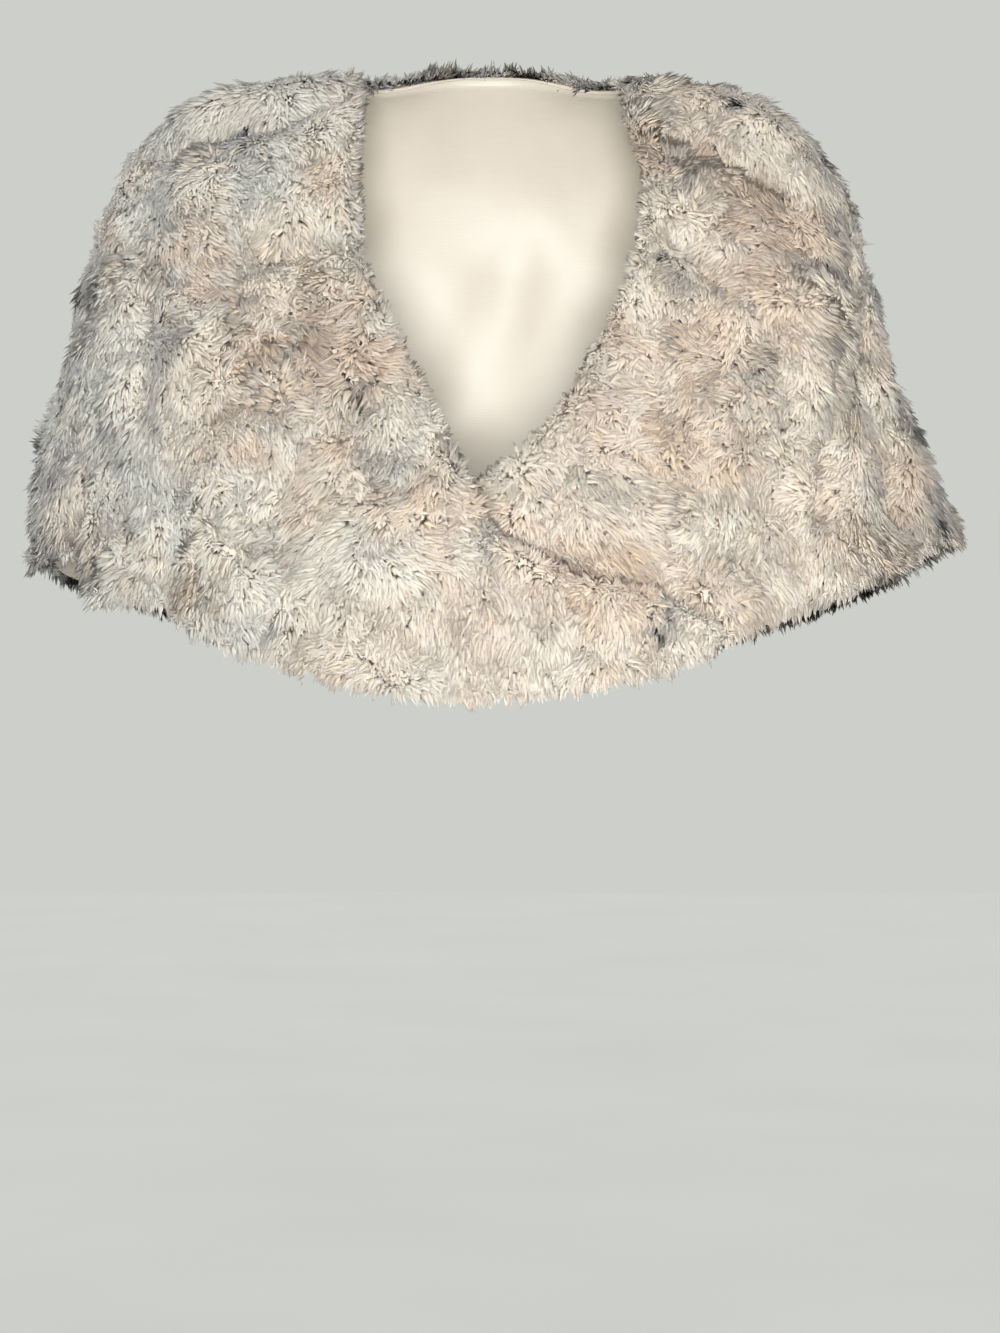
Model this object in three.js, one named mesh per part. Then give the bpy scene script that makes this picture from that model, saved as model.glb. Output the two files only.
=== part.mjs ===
// Faux fur capelet, worn: a bell of plush fur over both shoulders, open at the neck and the hem, with
// the wearer's right front crossed over the left one in a low V. Ivory lining backs every fur panel.
// Millimetres, +Z up. The front faces -Y and the wearer's right is -X. The origin is on the wearer's
// centre line, at the height of the shoulders beside the neck.
//
// A place on the cloth is given by two numbers: round, the angle in degrees about the wearer (0 at the
// centre front, 90 at the wearer's left side, 180 at the centre back, -90 at the right side), and
// down, the share of the way from the neck ring (0) to the hem ring (1).
import * as THREE from "three";

const furWall = 8; // backing cloth and the dense part of the pile
const liningWall = 1; // satin lining with its seam allowances
const gap = 0.3; // between pieces that lie on each other or meet at a seam
const overlapLift = furWall + liningWall + 7 * gap; // how far the right front stands off over the left
const overlapRampDown = 0.16; // stretch in which the lift grows, as a share of the drop
const overlapRampRound = 16; // the same sideways, in degrees
const overlapAhead = 0.25; // share of that stretch left between the whole lift and the left front's edge
const squareness = 2 / 2.3; // power of sine and cosine: below 1 the rings are fuller than ellipses
const dropPower = 2.4; // how sharply a ring falls from the sides towards the centre front and back
const roundToMm = 3; // one degree round and one whole drop, in millimetres of cloth, for the folds
const downToMm = 345;
const rowsOfCloth = 12;
const columnsOfFront = 30;
const columnsOfBack = 32;
const normalStep = 0.06; // degrees, for the surface's own direction by differences

// Rings of the hollow, evenly spaced down the cloth: half widths to the wearer's right and left,
// depths to the front and back, and heights at the sides, the centre front and the centre back.
const rings = [
  { right: 58, left: 56, front: 50, back: 52, sideZ: 0, frontZ: -40, backZ: 12 },
  { right: 95, left: 92, front: 68, back: 70, sideZ: -8, frontZ: -66, backZ: -14 },
  { right: 134, left: 128, front: 84, back: 84, sideZ: -16, frontZ: -98, backZ: -48 },
  { right: 168, left: 158, front: 98, back: 94, sideZ: -30, frontZ: -132, backZ: -86 },
  { right: 194, left: 180, front: 110, back: 102, sideZ: -54, frontZ: -167, backZ: -124 },
  { right: 207, left: 194, front: 121, back: 108, sideZ: -88, frontZ: -202, backZ: -163 },
  { right: 217, left: 203, front: 130, back: 112, sideZ: -127, frontZ: -236, backZ: -203 },
  { right: 226, left: 212, front: 137, back: 115, sideZ: -168, frontZ: -270, backZ: -244 },
  { right: 236, left: 228, front: 141, back: 118, sideZ: -213, frontZ: -303, backZ: -288 },
  { right: 241, left: 249, front: 143, back: 121, sideZ: -265, frontZ: -337, backZ: -332 },
];

// Neck edge of the right front, from the side seam to the tip that lies over the left front.
const neckOfRight = [
  { round: -90, down: 0.05 },
  { round: -75, down: 0.055 },
  { round: -58, down: 0.068 },
  { round: -45, down: 0.11 },
  { round: -37, down: 0.163 },
  { round: -27, down: 0.24 },
  { round: -21.5, down: 0.309 },
  { round: -16.5, down: 0.367 },
  { round: -9.8, down: 0.469 },
  { round: -5.2, down: 0.568 },
  { round: -1.8, down: 0.671 },
  { round: 0.5, down: 0.742 },
  { round: 4.5, down: 0.787 },
  { round: 10, down: 0.828 },
  { round: 16.6, down: 0.866 },
  { round: 21.5, down: 0.91 },
  { round: 24, down: 0.945 },
];

// Neck edge of the left front, from the side seam to the end that lies under the right front.
const neckOfLeft = [
  { round: 90, down: 0.07 },
  { round: 68, down: 0.08 },
  { round: 48, down: 0.117 },
  { round: 43, down: 0.157 },
  { round: 36.5, down: 0.23 },
  { round: 31.5, down: 0.282 },
  { round: 24, down: 0.359 },
  { round: 16.5, down: 0.432 },
  { round: 10, down: 0.52 },
  { round: 6, down: 0.573 },
  { round: 0.4, down: 0.637 },
  { round: -3, down: 0.7 },
  { round: -9, down: 0.78 },
  { round: -17, down: 0.85 },
  { round: -24, down: 0.91 },
];

// Neck edge of the back, from side seam to side seam behind the neck.
const neckOfBack = [
  { round: 90, down: 0.07 },
  { round: 115, down: 0.035 },
  { round: 145, down: 0.005 },
  { round: 180, down: 0 },
  { round: 215, down: 0.005 },
  { round: 245, down: 0.03 },
  { round: 270, down: 0.05 },
];

const hemOfRight = [
  { round: -90, down: 0.998 },
  { round: -76, down: 0.996 },
  { round: -64, down: 0.972 },
  { round: -55, down: 0.99 },
  { round: -48, down: 0.992 },
  { round: -41, down: 0.966 },
  { round: -31, down: 0.978 },
  { round: -19, down: 0.98 },
  { round: -7, down: 0.998 },
  { round: 6, down: 0.99 },
  { round: 24, down: 0.966 },
];

const hemOfLeft = [
  { round: 90, down: 0.975 },
  { round: 66, down: 0.973 },
  { round: 41, down: 0.966 },
  { round: 31, down: 0.957 },
  { round: 19, down: 0.966 },
  { round: 0, down: 0.972 },
  { round: -24, down: 0.96 },
];

const hemOfBack = [
  { round: 90, down: 0.975 },
  { round: 118, down: 0.995 },
  { round: 150, down: 0.985 },
  { round: 180, down: 0.99 },
  { round: 210, down: 0.985 },
  { round: 240, down: 1.004 },
  { round: 256, down: 1.01 },
  { round: 270, down: 0.998 },
];

// Creases and rolls of the worn cloth, each along a straight run on it: how far the cloth stands
// out along it (negative where it sinks in) and its half width, in millimetres.
const folds = [
  { name: "right shoulder crease", round: -66, down: 0.37, toRound: -55, toDown: 0.17, out: -8, wide: 15 },
  { name: "right shoulder roll", round: -74, down: 0.32, toRound: -64, toDown: 0.14, out: 7, wide: 20 },
  { name: "right chest crease", round: -38, down: 0.42, toRound: -24, toDown: 0.29, out: -6, wide: 15 },
  { name: "right chest roll", round: -30, down: 0.27, toRound: -42, toDown: 0.36, out: 4, wide: 16 },
  { name: "right arm valley", round: -55, down: 0.56, toRound: -52, toDown: 0.72, out: -6, wide: 14 },
  { name: "right arm ridge", round: -66, down: 0.52, toRound: -64, toDown: 0.86, out: 5, wide: 16 },
  { name: "left shoulder crease", round: 48, down: 0.23, toRound: 61, toDown: 0.45, out: -7, wide: 15 },
  { name: "left shoulder roll", round: 66, down: 0.2, toRound: 70, toDown: 0.4, out: 5, wide: 20 },
  { name: "left chest crease", round: 32, down: 0.34, toRound: 38, toDown: 0.46, out: -6, wide: 14 },
  { name: "left arm valley", round: 43, down: 0.47, toRound: 44, toDown: 0.64, out: -5, wide: 14 },
  { name: "left side valley", round: 72, down: 0.66, toRound: 63, toDown: 0.92, out: -9, wide: 14 },
  { name: "left arm ridge", round: 54, down: 0.62, toRound: 47, toDown: 0.9, out: 4, wide: 16 },
  { name: "left back ridge", round: 100, down: 0.66, toRound: 96, toDown: 1, out: 6, wide: 24 },
  { name: "back shoulder crease left", round: 124, down: 0.2, toRound: 150, toDown: 0.34, out: -6, wide: 14 },
  { name: "back valley left", round: 140, down: 0.55, toRound: 136, toDown: 1, out: -8, wide: 20 },
  { name: "back ridge left", round: 158, down: 0.5, toRound: 157, toDown: 1, out: 6, wide: 22 },
  { name: "back valley right", round: 212, down: 0.48, toRound: 216, toDown: 1, out: -7, wide: 18 },
  { name: "back ridge right", round: 196, down: 0.6, toRound: 198, toDown: 1, out: 5, wide: 22 },
  { name: "back shoulder crease right", round: 232, down: 0.22, toRound: 206, toDown: 0.3, out: -6, wide: 13 },
];

// Flutes of the hem: the cloth waves in and out more and more towards its free edge.
const flutes = [
  { name: "right front flute", round: -49, out: 9, wide: 6 },
  { name: "right front notch", round: -40, out: -8, wide: 4 },
  { name: "right side notch", round: -61, out: -9, wide: 4 },
  { name: "right side corner", round: -76, out: 3, wide: 9 },
  { name: "left front notch", round: 33, out: -5, wide: 4 },
  { name: "left side corner", round: 84, out: 5, wide: 9 },
  { name: "back flute left", round: 122, out: 9, wide: 9 },
  { name: "back flute right", round: 236, out: 10, wide: 8 },
];
const flutePower = 5; // how late on the way down a flute opens

// Catmull-Rom curve through one column of a table, at a row number that may be a fraction.
function smoothColumn(table, column, row) {
  const first = Math.min(Math.max(Math.floor(row), 0), table.length - 2);
  const t = row - first;
  const b = table[first][column];
  const c = table[first + 1][column];
  const a = first > 0 ? table[first - 1][column] : 2 * b - c;
  const d = first < table.length - 2 ? table[first + 2][column] : 2 * c - b;
  const curve = 2 * a - 5 * b + 4 * c - d;
  const twist = -a + 3 * b - 3 * c + d;
  return 0.5 * (2 * b + (c - a) * t + curve * t * t + twist * t * t * t);
}

// Row number at which the table's round column reaches an angle, held at both ends.
function rowAtRound(table, round) {
  const rising = table[1].round > table[0].round;
  const next = table.findIndex((row) => (rising ? row.round >= round : row.round <= round));
  if (next === 0) return 0;
  if (next < 0) return table.length - 1;
  const before = table[next - 1].round;
  return next - 1 + (round - before) / (table[next].round - before);
}

function downAtRound(table, round) {
  return smoothColumn(table, "down", rowAtRound(table, round));
}

const smoothStep = (x) => THREE.MathUtils.smoothstep(x, 0, 1);
const signedPower = (value, power) => Math.sign(value) * Math.abs(value) ** power;

// The hollow's ring at a height share: a rounded-square curve that falls towards front and back.
function hollowPoint(round, down) {
  const row = down * (rings.length - 1);
  const size = (column) => smoothColumn(rings, column, row);
  const angle = THREE.MathUtils.degToRad(round);
  const across = Math.sin(angle);
  const ahead = Math.cos(angle);
  const width = size(across < 0 ? "right" : "left");
  const depth = size(ahead > 0 ? "front" : "back");
  const drop = Math.abs(ahead) ** dropPower;
  const centreZ = size(ahead > 0 ? "frontZ" : "backZ");
  return new THREE.Vector3(
    width * signedPower(across, squareness),
    -depth * signedPower(ahead, squareness),
    THREE.MathUtils.lerp(size("sideZ"), centreZ, drop),
  );
}

function outwardAt(round, down) {
  const downStep = (normalStep * roundToMm) / downToMm;
  const sideways = hollowPoint(round + normalStep, down).sub(hollowPoint(round - normalStep, down));
  const downwards = hollowPoint(round, down + downStep).sub(hollowPoint(round, down - downStep));
  return downwards.cross(sideways).normalize();
}

// Distance in millimetres of cloth from a place to a fold's run.
function distanceToFold(round, down, fold) {
  const place = new THREE.Vector3(round * roundToMm, down * downToMm, 0);
  const start = new THREE.Vector3(fold.round * roundToMm, fold.down * downToMm, 0);
  const end = new THREE.Vector3(fold.toRound * roundToMm, fold.toDown * downToMm, 0);
  return new THREE.Line3(start, end).closestPointToPoint(place, true, start.clone()).distanceTo(place);
}

// How far the folds and flutes move the cloth outwards at a place.
function foldsAt(round, down) {
  const whole = round < -90 ? round + 360 : round;
  let out = 0;
  for (const fold of folds) {
    out += fold.out * Math.exp(-((distanceToFold(whole, down, fold) / fold.wide) ** 2));
    out += fold.out * Math.exp(-((distanceToFold(whole - 360, down, fold) / fold.wide) ** 2));
  }
  for (const flute of flutes) {
    const apart = Math.min(Math.abs(whole - flute.round), Math.abs(whole - 360 - flute.round));
    out += flute.out * down ** flutePower * Math.exp(-((apart / flute.wide) ** 2));
  }
  return out;
}

// The right front's lift over the left one: full inside the left front's edge, none before it.
function liftOverLeft(round, down) {
  const leftEnd = neckOfLeft[neckOfLeft.length - 1].round;
  const inside = (down - downAtRound(neckOfLeft, round)) / overlapRampDown + 1 + overlapAhead;
  const beside = (round - leftEnd) / overlapRampRound + 1 + overlapAhead;
  return overlapLift * smoothStep(inside) * smoothStep(beside);
}

// A panel of cloth as a grid of places: its columns are evenly spaced along the neck edge, and each
// runs from the neck edge to the hem at one angle.
function panelGrid(neck, hem, columns) {
  const stepsPerRow = 20;
  const run = [];
  let length = 0;
  for (let i = 0; i <= (neck.length - 1) * stepsPerRow; i++) {
    const round = smoothColumn(neck, "round", i / stepsPerRow);
    const down = smoothColumn(neck, "down", i / stepsPerRow);
    const last = run[run.length - 1];
    if (last) length += Math.hypot((round - last.round) * roundToMm, (down - last.down) * downToMm);
    run.push({ round, down, length });
  }
  const grid = [];
  for (let column = 0; column <= columns; column++) {
    const wanted = (length * column) / columns;
    const place = run.find((point) => point.length >= wanted - 1e-6);
    const hemDown = downAtRound(hem, place.round);
    const places = [];
    for (let row = 0; row <= rowsOfCloth; row++)
      places.push({ round: place.round, down: THREE.MathUtils.lerp(place.down, hemDown, row / rowsOfCloth) });
    grid.push(places);
  }
  return grid;
}

// A closed wall over a grid of places, between an inner and an outer distance from the hollow.
// seamShift moves each end column half a seam gap away from the panel beyond it.
function wallGeometry(grid, inner, outer, lift, seamShift) {
  const columns = grid.length;
  const rows = grid[0].length;
  const positions = [];
  for (const distance of [inner, outer])
    grid.forEach((places, column) =>
      places.forEach(({ round, down }) => {
        const out = distance + foldsAt(round, down) + lift(round, down);
        const point = hollowPoint(round, down).addScaledVector(outwardAt(round, down), out);
        if (column === 0) point.y += seamShift.first;
        if (column === columns - 1) point.y += seamShift.last;
        positions.push(point.x, point.y, point.z);
      }),
    );
  const indices = [];
  const layer = columns * rows;
  const quad = (a, b, c, d) => indices.push(a, b, c, a, c, d);
  for (let column = 0; column < columns - 1; column++)
    for (let row = 0; row < rows - 1; row++) {
      const a = column * rows + row;
      quad(a, a + rows, a + rows + 1, a + 1);
      quad(layer + a, layer + a + 1, layer + a + rows + 1, layer + a + rows);
    }
  const rim = [];
  for (let column = 0; column < columns - 1; column++) rim.push(column * rows);
  for (let row = 0; row < rows - 1; row++) rim.push((columns - 1) * rows + row);
  for (let column = columns - 1; column > 0; column--) rim.push(column * rows + rows - 1);
  for (let row = rows - 1; row > 0; row--) rim.push(row);
  rim.forEach((place, i) => {
    const next = rim[(i + 1) % rim.length];
    quad(place, place + layer, next + layer, next);
  });
  const geometry = new THREE.BufferGeometry();
  geometry.setAttribute("position", new THREE.Float32BufferAttribute(positions, 3));
  geometry.setIndex(indices);
  return turnedOutwards(geometry);
}

// Columns may run either way round the wearer, so a wall that came out inside out is turned.
function turnedOutwards(geometry) {
  const corner = new THREE.Vector3();
  const other = new THREE.Vector3();
  const third = new THREE.Vector3();
  const { index } = geometry;
  let volume = 0;
  for (let i = 0; i < index.count; i += 3) {
    corner.fromBufferAttribute(geometry.attributes.position, index.getX(i));
    other.fromBufferAttribute(geometry.attributes.position, index.getX(i + 1));
    third.fromBufferAttribute(geometry.attributes.position, index.getX(i + 2));
    volume += corner.dot(other.cross(third));
  }
  if (volume < 0)
    for (let i = 0; i < index.count; i += 3) {
      const second = index.getX(i + 1);
      index.setX(i + 1, index.getX(i + 2));
      index.setX(i + 2, second);
    }
  return geometry;
}

const fauxFur = () => new THREE.MeshStandardMaterial({ color: 0xd9ccb6, roughness: 0.95, metalness: 0 });
const ivorySatin = () => new THREE.MeshStandardMaterial({ color: 0xe6e1d3, roughness: 0.45, metalness: 0 });

const noLift = () => 0;
const halfGap = gap / 2;
const panels = [
  {
    name: "back",
    grid: panelGrid(neckOfBack, hemOfBack, columnsOfBack),
    lift: noLift,
    seamShift: { first: halfGap, last: halfGap },
  },
  {
    name: "front_right",
    grid: panelGrid(neckOfRight, hemOfRight, columnsOfFront),
    lift: liftOverLeft,
    seamShift: { first: -halfGap, last: 0 },
  },
  {
    name: "front_left",
    grid: panelGrid(neckOfLeft, hemOfLeft, columnsOfFront),
    lift: noLift,
    seamShift: { first: -halfGap, last: 0 },
  },
];

function clothMesh(name, geometry, material) {
  const mesh = new THREE.Mesh(geometry, material);
  mesh.name = name;
  return mesh;
}

const capelet = new THREE.Group();
for (const { name, grid, lift, seamShift } of panels) {
  const fur = wallGeometry(grid, 0, furWall, lift, seamShift);
  const lining = wallGeometry(grid, -gap - liningWall, -gap, lift, seamShift);
  capelet.add(clothMesh(name, fur, fauxFur()));
  capelet.add(clothMesh("lining_" + name, lining, ivorySatin()));
}

export default capelet;
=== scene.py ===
import itertools

import bpy
import numpy as np
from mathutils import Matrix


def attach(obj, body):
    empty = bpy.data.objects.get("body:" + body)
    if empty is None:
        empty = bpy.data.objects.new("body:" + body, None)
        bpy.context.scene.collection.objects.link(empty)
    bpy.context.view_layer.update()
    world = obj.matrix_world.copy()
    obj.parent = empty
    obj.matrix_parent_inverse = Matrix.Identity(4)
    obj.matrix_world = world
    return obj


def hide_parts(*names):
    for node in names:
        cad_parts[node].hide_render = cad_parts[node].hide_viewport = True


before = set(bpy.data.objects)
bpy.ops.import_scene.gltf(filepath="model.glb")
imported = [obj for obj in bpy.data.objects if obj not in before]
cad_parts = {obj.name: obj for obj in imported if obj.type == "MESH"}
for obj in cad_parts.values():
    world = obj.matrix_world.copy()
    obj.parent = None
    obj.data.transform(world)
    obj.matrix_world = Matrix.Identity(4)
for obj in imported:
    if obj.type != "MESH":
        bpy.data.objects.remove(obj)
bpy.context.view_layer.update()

# A faux fur capelet as worn: knitted backing panels with their folds, satin lining inside them, and
# the pile as joined meshes of small closed strands that follow a swirling nap.
# Tables are in millimetres and degrees; meshes are in metres. A place on the cloth is given by round,
# the angle about the wearer (0 centre front, 90 the wearer's left side), and down, the share of the
# way from the neck ring (0) to the hem ring (1).

mm = 0.001

view = {
    "distance": 1600.0,           # camera to the wearer's centre line
    "centreX": 5.5,
    "centreZ": -322.0,            # level with the hem
    "millimetresAcross": 550.0,   # width of the picture at the centre line
    "floorZ": -1380.0,            # a standing wearer's floor
    "sensorMm": 36.0,
    "seenTo": 50.0,               # metres
}


def addCamera():
    # level, in front of the wearer; lens = sensor width · distance / width of the picture there
    data = bpy.data.cameras.new("camera")
    data.sensor_fit = "HORIZONTAL"
    data.sensor_width = view["sensorMm"]
    data.lens = data.sensor_width * view["distance"] / view["millimetresAcross"]
    data.clip_end = view["seenTo"]
    camera = bpy.data.objects.new("camera", data)
    camera.location = (view["centreX"] * mm, -view["distance"] * mm, view["centreZ"] * mm)
    camera.rotation_euler = (np.pi / 2, 0.0, 0.0)
    bpy.context.collection.objects.link(camera)
    bpy.context.scene.camera = camera


addCamera()
bpy.context.scene.view_settings.view_transform = "Standard"
print("camera set")


def linear(hexColour):
    # sRGB hex to linear red, green, blue and alpha: c / 12.92 when low, else ((c + 0.055) / 1.055)^2.4
    srgb = np.array([int(hexColour[i:i + 2], 16) for i in (1, 3, 5)]) / 255.0
    low = srgb / 12.92
    high = ((srgb + 0.055) / 1.055) ** 2.4
    return tuple(np.where(srgb <= 0.04045, low, high)) + (1.0,)


def addNode(tree, kind, settings=None, inputs=None):
    # a node with its settings, and its inputs set to a value or linked to another node's output
    node = tree.nodes.new(kind)
    for name, value in (settings or {}).items():
        setattr(node, name, value)
    for name, value in (inputs or {}).items():
        if isinstance(value, bpy.types.NodeSocket):
            tree.links.new(value, node.inputs[name])
        else:
            node.inputs[name].default_value = value
    return node


def newMaterial(name):
    # a material, its node tree and its shader
    material = bpy.data.materials.new(name)
    material.use_nodes = True
    return material, material.node_tree, material.node_tree.nodes["Principled BSDF"]


def addMesh(name, points, faces, material, smooth=True):
    # a mesh from points (n, 3) in millimetres and faces (m, 3 or 4), on an object at the origin
    mesh = bpy.data.meshes.new(name)
    corners = faces.shape[1]
    mesh.vertices.add(len(points))
    mesh.vertices.foreach_set("co", (points * mm).astype(np.float32).ravel())
    mesh.loops.add(faces.size)
    mesh.loops.foreach_set("vertex_index", faces.astype(np.int32).ravel())
    mesh.polygons.add(len(faces))
    mesh.polygons.foreach_set("loop_start", np.arange(0, faces.size, corners, dtype=np.int32))
    mesh.polygons.foreach_set("use_smooth", np.full(len(faces), smooth))
    mesh.update(calc_edges=True)
    mesh.materials.append(material)
    piece = bpy.data.objects.new(name, mesh)
    bpy.context.collection.objects.link(piece)
    return piece


def addAttribute(piece, name, values):
    # one number for each vertex
    attribute = piece.data.attributes.new(name, "FLOAT", "POINT")
    attribute.data.foreach_set("value", np.asarray(values, np.float32))


# rings of the hollow, evenly spaced down: half width right, half width left, depth front, depth back,
# height at the sides, at the centre front, at the centre back
rings = np.array([
    (58, 56, 50, 52, 0, -40, 12),
    (95, 92, 68, 70, -8, -66, -14),
    (134, 128, 84, 84, -16, -98, -48),
    (168, 158, 98, 94, -30, -132, -86),
    (194, 180, 110, 102, -54, -167, -124),
    (207, 194, 121, 108, -88, -202, -163),
    (217, 203, 130, 112, -127, -236, -203),
    (226, 212, 137, 115, -168, -270, -244),
    (236, 228, 141, 118, -213, -303, -288),
    (241, 249, 143, 121, -265, -337, -332),
], float)
squareness = 2 / 2.3   # below 1 the rings are fuller than ellipses
dropPower = 2.4        # how sharply a ring falls from the sides to the centre front and back
roundToMm = 3.0        # one degree round and one whole drop, in millimetres of cloth
downToMm = 345.0

# neck edges and hems: round, down
neckOfRight = np.array([
    (-90, .05), (-75, .055), (-58, .068), (-45, .11), (-37, .163), (-27, .24), (-21.5, .309),
    (-16.5, .367), (-9.8, .469), (-5.2, .568), (-1.8, .671), (.5, .742), (4.5, .787), (10, .828),
    (16.6, .866), (21.5, .91), (24, .945)])
neckOfLeft = np.array([
    (90, .07), (68, .08), (48, .117), (43, .157), (36.5, .23), (31.5, .282), (24, .359), (16.5, .432),
    (10, .52), (6, .573), (.4, .637), (-3, .7), (-9, .78), (-17, .85), (-24, .91)])
neckOfBack = np.array([
    (90, .07), (115, .035), (145, .005), (180, 0), (215, .005), (245, .03), (270, .05)])
hemOfRight = np.array([
    (-90, .998), (-76, .996), (-64, .972), (-55, .99), (-48, .992), (-41, .966), (-31, .978),
    (-19, .98), (-7, .998), (6, .99), (24, .966)])
hemOfLeft = np.array([
    (90, .975), (66, .973), (41, .966), (31, .957), (19, .966), (0, .972), (-24, .96)])
hemOfBack = np.array([
    (90, .975), (118, .995), (150, .985), (180, .99), (210, .985), (240, 1.004), (256, 1.01),
    (270, .998)])

# creases and rolls along straight runs: round, down, to round, to down, out in mm, half width in mm
folds = [
    (-66, .37, -55, .17, -8, 14),     # right shoulder crease
    (-66, .37, -56, .18, -5, 6),
    (-74, .32, -64, .14, 7, 20),      # roll behind it
    (-38, .42, -24, .29, -6, 14),     # right chest crease
    (-36, .40, -25, .30, -4, 6),
    (-30, .27, -42, .36, 4, 16),
    (-28, .37, -21, .33, -4, 6),
    (-55, .56, -52, .72, -6, 14),     # right arm valley
    (-66, .52, -64, .86, 5, 16),
    (-38, .46, -38, .53, -4, 9),
    (-18, .60, -14, .54, -4, 7),
    (48, .23, 61, .45, -7, 14),       # left shoulder crease
    (50, .26, 58, .40, -4, 6),
    (66, .2, 70, .4, 5, 20),
    (32, .34, 38, .46, -6, 13),       # left chest crease
    (33, .35, 38, .44, -4, 6),
    (43, .47, 44, .64, -5, 14),
    (72, .66, 63, .92, -9, 13),       # left side valley
    (54, .62, 47, .9, 4, 16),
    (56, .70, 46, .86, -4, 8),
    (100, .66, 96, 1, 6, 24),
    (124, .2, 150, .34, -6, 14),      # back
    (128, .22, 146, .32, -4, 7),
    (140, .55, 136, 1, -8, 20),
    (158, .5, 157, 1, 6, 22),
    (176, .35, 184, .6, -4, 16),
    (212, .48, 216, 1, -7, 18),
    (196, .6, 198, 1, 5, 22),
    (232, .22, 206, .3, -6, 13),
    (228, .23, 210, .29, -4, 7),
]
# flutes of the hem: round, out in mm, half width in degrees
flutes = [(-49, 9, 6), (-40, -8, 4), (-61, -9, 4), (-76, 3, 9), (33, -5, 4), (84, 5, 9), (122, 9, 9),
          (236, 10, 8)]
flutePower = 5

overlap = {"lift": 11.1, "rampDown": 0.16, "rampRound": 16.0, "ahead": 0.25}


def smoothRows(table, row):
    # Catmull-Rom curve through a table's rows, at row numbers that may be fractions
    row = np.asarray(row, float)
    first = np.clip(np.floor(row).astype(int), 0, len(table) - 2)
    t = (row - first)[..., None]
    b, c = table[first], table[first + 1]
    a = np.where((first > 0)[..., None], table[np.maximum(first - 1, 0)], 2 * b - c)
    last = (first >= len(table) - 2)[..., None]
    d = np.where(last, 2 * c - b, table[np.minimum(first + 2, len(table) - 1)])
    curve = 2 * a - 5 * b + 4 * c - d
    twist = 3 * b - a - 3 * c + d
    return 0.5 * (2 * b + (c - a) * t + curve * t ** 2 + twist * t ** 3)


def downAtRound(table, round):
    # the edge's down at an angle, read off the curve through its table and held at both ends
    order = 1 if table[-1, 0] > table[0, 0] else -1
    rows = np.arange(len(table))
    row = np.interp(round, table[::order, 0], rows[::order])
    return smoothRows(table, row)[..., 1]


def smoothStep(x):
    # 3x² - 2x³, held at 0 and 1
    x = np.clip(x, 0, 1)
    return x * x * (3 - 2 * x)


def signedPower(value, power):
    # the size to a power, with the sign kept
    return np.sign(value) * np.abs(value) ** power


def hollowPoint(round, down):
    # a rounded-square ring, half width by depth, that falls towards the centre front and back
    size = smoothRows(rings, down * (len(rings) - 1))
    angle = np.radians(round)
    across, ahead = np.sin(angle), np.cos(angle)
    width = np.where(across < 0, size[..., 0], size[..., 1])
    depth = np.where(ahead > 0, size[..., 2], size[..., 3])
    centreZ = np.where(ahead > 0, size[..., 5], size[..., 6])
    z = size[..., 4] + (centreZ - size[..., 4]) * np.abs(ahead) ** dropPower
    x = width * signedPower(across, squareness)
    return np.stack([x, -depth * signedPower(ahead, squareness), z], -1)


def unit(vectors):
    # each vector divided by its length
    return vectors / np.maximum(np.linalg.norm(vectors, axis=-1, keepdims=True), 1e-9)


def outwardAt(round, down):
    # the form's outward normal: step down crossed with step round
    step = 0.06
    downStep = step * roundToMm / downToMm
    sideways = hollowPoint(round + step, down) - hollowPoint(round - step, down)
    downwards = hollowPoint(round, down + downStep) - hollowPoint(round, down - downStep)
    return unit(np.cross(downwards, sideways))


def foldsAt(round, down):
    # sum of bell-shaped ridges and troughs about each fold's run, and of the hem's flutes
    out = np.zeros(np.shape(round))
    for turn in (0, 360, -360):
        place = np.stack([(round + turn) * roundToMm, down * downToMm], -1)
        for roundA, downA, roundB, downB, high, wide in folds:
            start = np.array([roundA * roundToMm, downA * downToMm])
            run = np.array([roundB * roundToMm, downB * downToMm]) - start
            share = np.clip((place - start) @ run / (run @ run), 0, 1)
            away = np.linalg.norm(place - start - share[..., None] * run, axis=-1)
            out += high * np.exp(-(away / wide) ** 2)
        for centre, high, wide in flutes:
            bell = np.exp(-((round + turn - centre) / wide) ** 2)
            out += high * np.maximum(down, 0) ** flutePower * bell
    return out


def liftOverLeft(round, down):
    # the right front stands off over the left one: whole inside the left front's edge, none before it
    inside = (down - downAtRound(neckOfLeft, round)) / overlap["rampDown"] + 1 + overlap["ahead"]
    beside = (round - neckOfLeft[-1, 0]) / overlap["rampRound"] + 1 + overlap["ahead"]
    return overlap["lift"] * smoothStep(inside) * smoothStep(beside)


def panelPlaces(neck, hem, columns, rows):
    # grid of places: columns evenly spaced along the neck edge, each running down to the hem
    fine = smoothRows(neck, np.linspace(0, len(neck) - 1, 400))
    steps = np.diff(fine, axis=0) * (roundToMm, downToMm)
    length = np.concatenate([[0], np.cumsum(np.hypot(*steps.T))])
    wanted = np.linspace(0, length[-1], columns + 1)
    round = np.interp(wanted, length, fine[:, 0])
    top = np.interp(wanted, length, fine[:, 1])
    bottom = downAtRound(hem, round)
    share = np.linspace(0, 1, rows + 1)
    down = top[:, None] + (bottom - top)[:, None] * share
    return np.repeat(round[:, None], rows + 1, 1), down


def clothPoints(panel, offset):
    # form + outward normal · (folds + lift + offset); the offset may vary over the grid
    round, down = panel["round"], panel["down"]
    out = foldsAt(round, down) + panel["lift"](round, down) + offset
    return hollowPoint(round, down) + outwardAt(round, down) * out[..., None]


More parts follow.
